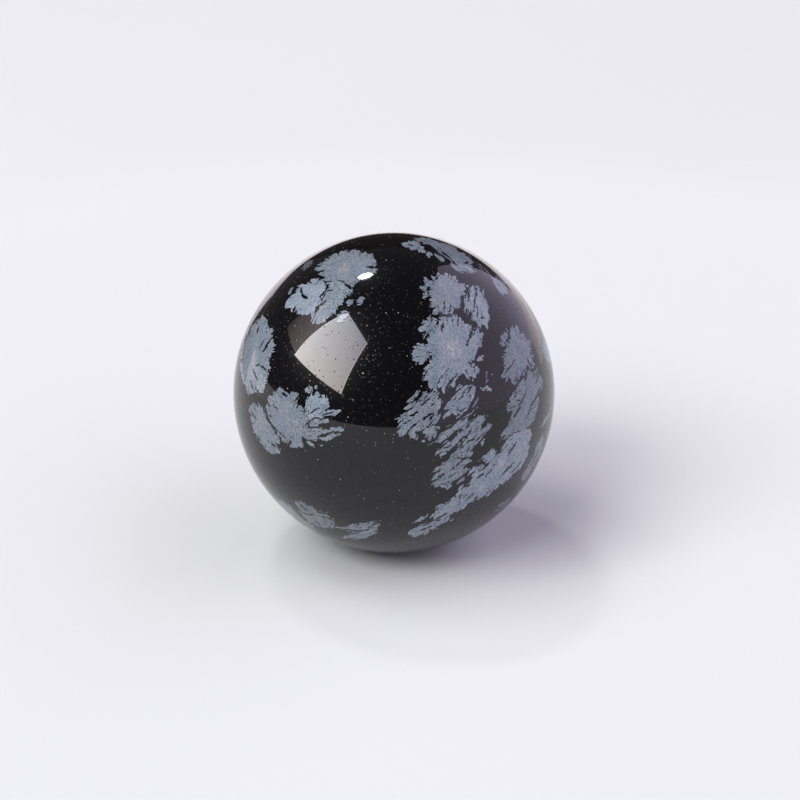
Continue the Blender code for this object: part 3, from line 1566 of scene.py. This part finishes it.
@dataclass(frozen=True)
class SnowflakeObsidian:
    """The stone's finish: black glass with feathery crystal flakes, specks and pits under one polish.

    Lengths are in millimetres. The ball is shared out among sectors, each with a material that draws
    only the flakes near it, so that no shader has to work out every flake.
    """

    ball: Ball
    edges: Edges = Edges()
    gaps: Gaps = Gaps()
    crystal: Crystal = Crystal()
    glass: Colour = (0.0012, 0.0011, 0.0013)
    speck: Colour = (0.80, 0.78, 0.70)
    dullest_speck: float = 0.12
    speck_in_crystal: float = 0.1
    ior: float = 1.45
    glass_roughness: float = 0.03
    crystal_roughness: float = 0.05
    pit_roughness: float = 0.75
    haze: float = 0.08
    haze_roughness: float = 0.3
    heart_core: float = 0.2
    oval_depth: float = 6.0
    smallest_scale: float = 0.55
    far_away: float = 50.0
    sectors: int = 26
    sector_margin: float = 0.9
    specks: tuple[Dots, ...] = (
        Dots(spacing=0.66, largest=0.080, shift=0.0),
        Dots(spacing=0.39, largest=0.052, shift=5.0),
    )
    pits: Dots = Dots(spacing=0.33, largest=0.11, shift=11.0, smallest_share=0.5)

    def share_out(self, faces: np.ndarray) -> np.ndarray:
        """Finds each face's sector.

        Args:
            faces: the faces' middles, in millimetres.

        Returns:
            For each face, the number of the nearest of some directions that are spread evenly over the ball.
        """
        number = np.arange(self.sectors)
        height = 1 - (2 * number + 1) / self.sectors
        turn = number * GOLDEN_ANGLE
        reach = np.sqrt(1 - height ** 2)
        directions = np.stack([reach * np.cos(turn), reach * np.sin(turn), height], axis=1)
        return np.argmax((faces - np.array(self.ball.centre) * MM) @ directions.T, axis=1)

    def scale(self, spot: Spot) -> float:
        """The millimetres that one oval size counts for outside a lobe."""
        return max(spot.across, self.smallest_scale)

    def comes_near(self, growth: Growth, faces: np.ndarray) -> bool:
        """Whether a flake, with its ragged edge, could reach any of these faces.

        Args:
            growth: the flake.
            faces: the faces' middles, in millimetres.

        Returns:
            True if it could.
        """
        for spot in growth.lobes:
            sizes = np.array((spot.along, spot.across, self.oval_depth))
            inside = (faces - np.array(spot.middle)) @ np.array(spot.axes) / sizes
            if (np.linalg.norm(inside, axis=1).min() - 1) * self.scale(spot) < self.sector_margin:
                return True
        return False

    def dress(
        self, piece: bpy.types.Object, growths: list[Growth], hearts: list[tuple[Vector, float]],
    ) -> None:
        """Gives each face of the ball its sector's material.

        Args:
            piece: the ball.
            growths: every flake on the ball.
            hearts: the middle and the radius of each pale heart.
        """
        polygons = piece.data.polygons
        faces = np.empty(3 * len(polygons))
        polygons.foreach_get("center", faces)
        faces = faces.reshape(-1, 3) * MM
        sectors = self.share_out(faces)
        trees = {growth.seed: self.flake_tree(growth) for growth in growths}
        surface = self.surface_tree()
        for number in range(self.sectors):
            mine = faces[sectors == number]
            near = [growth for growth in growths if self.comes_near(growth, mine)] or growths[:1]
            pale = [
                (middle, radius) for middle, radius in hearts
                if np.linalg.norm(mine - np.array(middle), axis=1).min() < radius + self.sector_margin
            ]
            piece.data.materials.append(self.material(number, near, trees, pale, surface))
            log.debug("sector %d: %d flakes", number, len(near))
        polygons.foreach_set("material_index", sectors.astype(np.int32))

    def oval(self, place: Value, spot: Spot, scale: float) -> Value:
        """Works out how far a place is outside an oval.

        Args:
            place: where on the stone.
            spot: the oval.
            scale: the millimetres that one oval size counts for.

        Returns:
            The rough distance, below 0 inside the oval.
        """
        gap = place - spot.middle
        sizes = (spot.along, spot.across, self.oval_depth)
        shares = [gap.dot(spot.axes.col[number] / size) for number, size in enumerate(sizes)]
        inside = place.bench.add("ShaderNodeCombineXYZ", {}, dict(enumerate(shares)))
        return (inside.length() - 1) * scale

    def flake_tree(self, growth: Growth) -> bpy.types.NodeTree:
        """Makes the node group that draws one flake's ovals.

        Args:
            growth: the flake.

        Returns:
            A group that takes a place and gives the distances outside the flake and outside its slits.
        """
        outputs = {"Outline": "Float", "Gap": "Float"}
        bench, given = Bench.group(growth.name, {"Place": "Vector"}, outputs)
        outline: Value | None = None
        for spot in growth.lobes:
            lobe = self.oval(given["Place"], spot, self.scale(spot))
            outline = lobe if outline is None else outline.melt(lobe, self.edges.melt)
        gap: Value | None = None
        for spot in growth.slits:
            slit = self.oval(given["Place"], spot, spot.across)
            gap = slit if gap is None else gap.least(slit)
        bench.end("NodeGroupOutput", {"Outline": outline, "Gap": self.far_away if gap is None else gap})
        return bench.tree

    def nearest_flake(
        self, bench: Bench, bent: Value, growths: list[Growth], trees: dict[float, bpy.types.NodeTree],
    ) -> dict[str, Value]:
        """Finds which flake is nearest to a place.

        Args:
            bench: a sector's bench.
            bent: the place.
            growths: the flakes near the sector.
            trees: each flake's node group, by the flake's seed.

        Returns:
            The nearest flake's focus, facing and look, the distances outside it and outside the second
            nearest, and the distance outside the nearest slit.
        """
        first = growths[0]
        chosen = {
            name: bench.add("ShaderNodeCombineXYZ", {}, dict(enumerate(vector)))
            for name, vector in (("Focus", first.focus), ("Facing", first.facing), ("Look", first.look))
        }
        nearest = bench.add("ShaderNodeGroup", {"node_tree": trees[first.seed]}, {"Place": bent}, "Outline")
        gap = nearest.beside("Gap")
        second = nearest + self.far_away
        for growth in growths[1:]:
            drawing = {"node_tree": trees[growth.seed]}
            flake = bench.add("ShaderNodeGroup", drawing, {"Place": bent}, "Outline")
            nearer = flake.below(nearest)
            chosen["Focus"] = bench.mix(nearer, chosen["Focus"], growth.focus)
            chosen["Facing"] = bench.mix(nearer, chosen["Facing"], growth.facing)
            chosen["Look"] = bench.mix(nearer, chosen["Look"], growth.look)
            second = second.least(flake.most(nearest))
            nearest = nearest.least(flake)
            gap = gap.least(flake.beside("Gap"))
        return {**chosen, "Nearest": nearest, "Second": second, "Gap": gap}

    def material(
        self, number: int, growths: list[Growth], trees: dict[float, bpy.types.NodeTree],
        hearts: list[tuple[Vector, float]], surface: bpy.types.NodeTree,
    ) -> bpy.types.Material:
        """Makes one sector's material.

        Args:
            number: the sector's number.
            growths: the flakes near it.
            trees: each flake's node group, by the flake's seed.
            hearts: the middle and the radius of each pale heart near it.
            surface: the node group that draws colour and polish.

        Returns:
            The material.
        """
        material = bpy.data.materials.new(f"snowflake_obsidian_{number:02d}")
        material.use_nodes = True
        bench = Bench(material.node_tree)
        place = bench.add("ShaderNodeTexCoord", {}, {}, "Object") * MM
        bent = self.edges.warped(bench, place)
        given = {"Place": place, "Bent": bent, **self.nearest_flake(bench, bent, growths, trees)}
        for middle, radius in hearts:
            ends = {0: place, 1: middle}
            distance = bench.add("ShaderNodeVectorMath", {"operation": "DISTANCE"}, ends, "Value")
            heart = distance.ramp(radius, radius * self.heart_core)
            given["Heart"] = given["Heart"].most(heart) if "Heart" in given else heart
        colour = bench.add("ShaderNodeGroup", {"node_tree": surface}, given, "Colour")
        shader = bench.add(
            "ShaderNodeBsdfPrincipled", {},
            {
                "Base Color": colour, "Roughness": colour.beside("Roughness"), "IOR": self.ior,
                "Coat Weight": self.haze, "Coat Roughness": self.haze_roughness,
            },
        )
        bench.end("ShaderNodeOutputMaterial", {"Surface": shader})
        return material

    def surface_tree(self) -> bpy.types.NodeTree:
        """Makes the node group that turns a flake's outline into colour and polish.

        Returns:
            The group. It takes the place, the nearest flake's look, the distances to flakes and slits,
            and 1 in the middle of a pale heart.
        """
        vectors = ("Place", "Bent", "Focus", "Facing", "Look")
        numbers = ("Nearest", "Second", "Gap", "Heart")
        inputs = {**dict.fromkeys(vectors, "Vector"), **dict.fromkeys(numbers, "Float")}
        bench, given = Bench.group("crystal_and_glass", inputs, {"Colour": "Color", "Roughness": "Float"})
        place, facing = given["Place"], given["Facing"]
        reach = given["Bent"] - given["Focus"]
        reach = reach - facing * reach.dot(facing)
        fineness, seed, tone = (given["Look"].part(name) for name in "XYZ")
        direction = bench.add("ShaderNodeVectorMath", {"operation": "NORMALIZE"}, {0: reach})
        fibres = Fibres(bench, direction * fineness, reach.length(), seed)
        outline = self.edges.outline(given["Nearest"], place, fibres)
        crystal = outline.ramp(self.edges.soft, -self.edges.soft) * self.gaps.left_open(given, fibres)
        light = self.crystal.colour(place, fibres, outline, given["Heart"]) * tone
        colour = bench.mix(crystal, Vector(self.glass), light)
        seen = (1 - crystal) * (1 - self.speck_in_crystal) + self.speck_in_crystal
        rough, _ = self.pits.draw(bench, place)
        for dots in self.specks:
            inside, shine = dots.draw(bench, place)
            bright = bench.mix(shine * shine, Vector(self.speck) * self.dullest_speck, Vector(self.speck))
            colour = bench.mix(inside * seen, colour, bright)
            rough = rough.most(inside)
        roughness = crystal * (self.crystal_roughness - self.glass_roughness) + self.glass_roughness
        roughness = roughness + rough * (self.pit_roughness - self.glass_roughness)
        bench.end("NodeGroupOutput", {"Colour": colour, "Roughness": roughness})
        return bench.tree


UP = (0.0, 0.0, 1.0)
HALF = 0.5


def toward(azimuth: float, elevation: float) -> Vector:
    """A direction, by its degrees to the right of the side that faces the camera and above the level."""
    turn, rise = math.radians(azimuth), math.radians(elevation)
    return Vector((math.sin(turn) * math.cos(rise), -math.cos(turn) * math.cos(rise), math.sin(rise)))


def stand_aside(holder: bpy.types.Object, glossy: bool, diffuse: bool) -> None:
    """Hides a light from the camera, keeps it from casting a shadow, and says what it lights.

    Args:
        holder: the light's object.
        glossy: whether it shows in the polish.
        diffuse: whether it lights matt surfaces.
    """
    holder.visible_camera = False
    holder.visible_shadow = False
    holder.visible_glossy = glossy
    holder.visible_diffuse = diffuse


def square(reach: float) -> list[Place]:
    """The corners of a level square round the origin, by half its side."""
    return [(-reach, -reach, 0.0), (reach, -reach, 0.0), (reach, reach, 0.0), (-reach, reach, 0.0)]


def glow_material(name: str, corners: tuple[Colour, ...]) -> bpy.types.Material:
    """Makes a glow that is even, or goes evenly from corner to corner of a unit square.

    Args:
        name: the material's name.
        corners: one radiance, or the four at the square's corners, in the order of LitSheet's corners.

    Returns:
        The material.
    """
    material = bpy.data.materials.new(name)
    material.use_nodes = True
    bench = Bench(material.node_tree)
    colour: Value | tuple[float, ...] = (*corners[0], 1.0)
    if len(corners) > 1:
        place = bench.add("ShaderNodeTexCoord", {}, {}, "Object")
        along, across = place.part("X") + HALF, place.part("Y") + HALF
        near, far, near_beside, far_beside = (Vector(corner) for corner in corners)
        colour = bench.mix(across, bench.mix(along, near, far), bench.mix(along, near_beside, far_beside))
    glow = bench.add("ShaderNodeEmission", {}, {"Color": colour, "Strength": 1.0})
    bench.end("ShaderNodeOutputMaterial", {"Surface": glow})
    return material


@dataclass(frozen=True)
class LitSheet:
    """A glowing sheet that shows only in the polish.

    Its middle is measured from the ball's centre and its sides are vectors. corners are the radiances
    at the start of both sides, at the end of the long side, at the end of the short side, and at the
    end of both.
    """

    name: str
    middle: Place
    long_side: Place
    short_side: Place
    corners: tuple[Colour, Colour, Colour, Colour]

    def place(self, centre: Vector) -> None:
        """Adds the sheet.

        Args:
            centre: the ball's centre.
        """
        sheet = add_mesh(self.name, square(HALF), [(0, 1, 2, 3)], glow_material(self.name, self.corners))
        first, second = Vector(self.long_side), Vector(self.short_side)
        axes = Matrix((first, second, first.cross(second).normalized())).transposed()
        sheet.matrix_world = Matrix.Translation(centre + Vector(self.middle)) @ axes.to_4x4()
        stand_aside(sheet, glossy=True, diffuse=False)


class LampShape(Enum):
    """A lamp's outline, by Blender's name for it."""

    RECTANGLE = "RECTANGLE"
    ELLIPSE = "ELLIPSE"

    @property
    def filled_share(self) -> float:
        """How much of its width times its height it fills."""
        return math.pi / 4 if self is LampShape.ELLIPSE else 1.0


@dataclass(frozen=True)
class Lamp:
    """A soft lamp: where it is from the ball, its width and height, and how bright it looks.

    Its direction is in degrees round from the camera's side and above the level, and turned is the
    direction that its height points in.
    """

    name: str
    azimuth: float
    elevation: float
    distance: float
    size: tuple[float, float]
    radiance: Colour
    shape: LampShape = LampShape.RECTANGLE
    turned: Place = UP
    in_polish: bool = False

    def place(self, centre: Vector) -> None:
        """Adds the lamp, facing the ball.

        Args:
            centre: the ball's centre.
        """
        behind = toward(self.azimuth, self.elevation)
        across = Vector(self.turned).cross(behind).normalized()
        brightest = max(self.radiance)
        light = bpy.data.lights.new(self.name, "AREA")
        light.shape = self.shape.value
        light.size, light.size_y = self.size
        light.color = [part / brightest for part in self.radiance]
        area = self.size[0] * self.size[1] * self.shape.filled_share
        light.energy = brightest * area * math.pi
        holder = bpy.data.objects.new(self.name, light)
        axes = Matrix((across, behind.cross(across), behind)).transposed()
        holder.matrix_world = Matrix.Translation(centre + behind * self.distance) @ axes.to_4x4()
        stand_aside(holder, glossy=self.in_polish, diffuse=True)
        bpy.context.scene.collection.objects.link(holder)


@dataclass(frozen=True)
class ReflectorPanel:
    """An upright pale panel to the right of the ball, square at the back and rounded at the front."""

    beside: float = 0.75
    front: float = -1.305
    crown: float = 1.05
    back: float = 1.56
    height: float = 1.695
    radiance: Colour = (1.06, 0.96, 1.29)
    arc_steps: int = 16

    def outline(self) -> list[Place]:
        """Walks round the panel, from its front foot over its rounded shoulder to its back foot.

        Returns:
            Points in order.
        """
        points = []
        for step in range(self.arc_steps + 1):
            turn = math.pi / 2 * step / self.arc_steps
            along = self.crown - (self.crown - self.front) * math.cos(turn)
            points.append((self.beside, along, self.height * math.sin(turn)))
        return points + [(self.beside, self.back, self.height), (self.beside, self.back, 0.0)]

    def place(self) -> None:
        """Adds the panel."""
        points = self.outline()
        glow = glow_material("reflector_glow", (self.radiance,))
        panel = add_mesh("reflector_panel", points, [tuple(range(len(points)))], glow)
        stand_aside(panel, glossy=True, diffuse=True)


@dataclass(frozen=True)
class StandingStrip:
    """A strip that stands on the floor beside or behind the ball and shows only in the polish.

    tops holds directions in degrees, each with the strip's height there in degrees above the ball's middle.
    """

    name: str
    distance: float
    radiance: Colour
    tops: tuple[tuple[float, float], ...]

    def place(self, ball: Ball) -> None:
        """Adds the strip.

        Args:
            ball: the ball that it stands round.
        """
        points: list[Place] = []
        for azimuth, top in self.tops:
            side = toward(azimuth, 0.0) * self.distance
            height = ball.centre_height + self.distance * math.tan(math.radians(top))
            points += [(side.x, side.y, 0.0), (side.x, side.y, height)]
        faces = [(start, start + 2, start + 3, start + 1) for start in range(0, len(points) - 2, 2)]
        strip = add_mesh(self.name, points, faces, glow_material(self.name, (self.radiance,)))
        stand_aside(strip, glossy=True, diffuse=False)


GLOOM = (0.092, 0.086, 0.096)

SHEETS = (
    LitSheet(
        name="soft_box", middle=(-0.953, -0.5805, 1.2153),
        long_side=(0.180, -0.036, 1.470), short_side=(0.327, -1.044, -0.066),
        corners=((16.5, 15.9, 15.8), (9.4, 9.5, 10.9), (9.7, 9.2, 9.0), (6.2, 6.1, 7.0)),
    ),
    LitSheet(
        name="soft_box_near_edge", middle=(-1.118, -0.053, 1.249),
        long_side=(0.180, -0.036, 1.470), short_side=(0.007, -0.022, -0.001),
        corners=((21.4, 20.9, 20.9), (17.1, 17.1, 18.2), (21.4, 20.9, 20.9), (17.1, 17.1, 18.2)),
    ),
    LitSheet(
        name="soft_box_far_edge", middle=(-0.788, -1.103, 1.183),
        long_side=(0.180, -0.036, 1.470), short_side=(0.004, -0.012, -0.001),
        corners=((16.6, 16.0, 16.0), (12.8, 12.8, 13.9), (16.6, 16.0, 16.0), (12.8, 12.8, 13.9)),
    ),
    LitSheet(
        name="soft_box_skirt", middle=(-2.0383, 0.3962, 1.5647),
        long_side=(-0.1908, -0.9816, 0.0), short_side=(0.6794, -0.1321, 0.9184),
        corners=((0.48, 0.39, 0.40), (2.14, 1.77, 1.82), (1.6, 1.39, 1.44), (2.46, 2.09, 2.19)),
    ),
)

STRIPS = (
    StandingStrip(
        name="backdrop_foot", distance=0.12, radiance=(1.26, 1.16, 1.22),
        tops=(
            (-84, 2.0), (-105, 2.0), (-124, 2.0), (-152, 3.5), (-166, 3.8), (-173, 2.0), (-180, 1.6),
            (-194, 4.5), (-206, 5.0), (-220, 4.8), (-232, 4.0),
        ),
    ),
    StandingStrip(
        name="dark_behind", distance=0.13, radiance=(0.045, 0.036, 0.038),
        tops=(
            (-156, 2.0), (-160, 16.0), (-168, 34.0), (-180, 36.0), (-192, 34.0), (-200, 16.0), (-204, 2.0),
        ),
    ),
    StandingStrip(
        name="dark_before_foot", distance=0.09, radiance=GLOOM,
        tops=((-122, 5.0), (-135, 5.0), (-148, 5.0)),
    ),
)

LAMPS = (
    Lamp(
        name="key_from_left", azimuth=-88.0, elevation=65.0, distance=2.0,
        size=(1.3, 0.9), radiance=(3.9, 3.9, 3.9),
    ),
    Lamp(
        name="key_from_front", azimuth=-45.0, elevation=40.0, distance=2.0,
        size=(1.45, 0.85), radiance=(8.0, 8.0, 7.95),
    ),
    Lamp(
        name="fill_from_right", azimuth=60.0, elevation=50.0, distance=2.0,
        size=(1.6, 1.2), radiance=(0.6, 0.6, 0.61),
    ),
    Lamp(
        name="small_lamp", azimuth=-151.77, elevation=59.76, distance=1.8,
        size=(0.235, 0.17), radiance=(36.0, 35.5, 36.0), shape=LampShape.ELLIPSE,
        turned=(0.24, -0.97, 0.0), in_polish=True,
    ),
)


@dataclass(frozen=True)
class Studio:
    """The pale floor and the soft light round the ball.

    The softbox that shows in the polish and the lamps that light the floor are separate, so that each
    can be set from what the photograph shows of it.
    """

    ball: Ball
    floor_side: float = 12.0
    floor_colour: Colour = (0.715, 0.725, 0.730)
    floor_roughness: float = 0.9
    floor_sheen: float = 0.2

    def place_floor(self) -> None:
        """Adds the floor."""
        material = bpy.data.materials.new("pale_floor")
        material.use_nodes = True
        shader = material.node_tree.nodes["Principled BSDF"]
        shader.inputs["Base Color"].default_value = (*self.floor_colour, 1.0)
        shader.inputs["Roughness"].default_value = self.floor_roughness
        shader.inputs["Specular IOR Level"].default_value = self.floor_sheen
        add_mesh("pale_floor", square(self.floor_side / 2), [(0, 1, 2, 3)], material)

    def place(self) -> None:
        """Adds the floor, what shows in the polish, the lamps and the dim room round them."""
        self.place_floor()
        for sheet in SHEETS:
            sheet.place(self.ball.centre)
        ReflectorPanel().place()
        for strip in STRIPS:
            strip.place(self.ball)
        for lamp in LAMPS:
            lamp.place(self.ball.centre)
        world = bpy.data.worlds.new("dim_room")
        world.use_nodes = True
        world.node_tree.nodes["Background"].inputs["Color"].default_value = (*GLOOM, 1.0)
        bpy.context.scene.world = world


def write_sizes() -> None:
    """Updates the view layer."""
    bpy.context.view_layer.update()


def main() -> None:
    """Builds the ball, the view and the studio in order, and reports each."""
    logging.basicConfig(level=logging.INFO, format="%(name)s: %(message)s")
    bpy.context.scene.view_settings.view_transform = "Standard"
    ball = Ball.from_frame()
    view = PhotoView(ball)
    view.place_camera()
    log.info("camera at %s", tuple(round(part, 4) for part in view.eye))

    seen = [Growth.from_flake(flake, view, SEED_STEP * number) for number, flake in enumerate(SEEN_FLAKES)]
    unseen = UnseenSides(ball, view.away).growths(seen)
    piece = ball.build()
    SnowflakeObsidian(ball).dress(piece, seen + unseen, [heart.on_ball(view) for heart in HEARTS])
    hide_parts(BALL_NODE)
    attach(piece, BODY)
    faces = len(piece.data.polygons)
    log.info("%s: %d faces, %d flakes in sight, %d out of it", piece.name, faces, len(seen), len(unseen))

    Studio(ball).place()
    log.info("floor and lights")
    write_sizes()


if __name__ == "__main__":
    main()
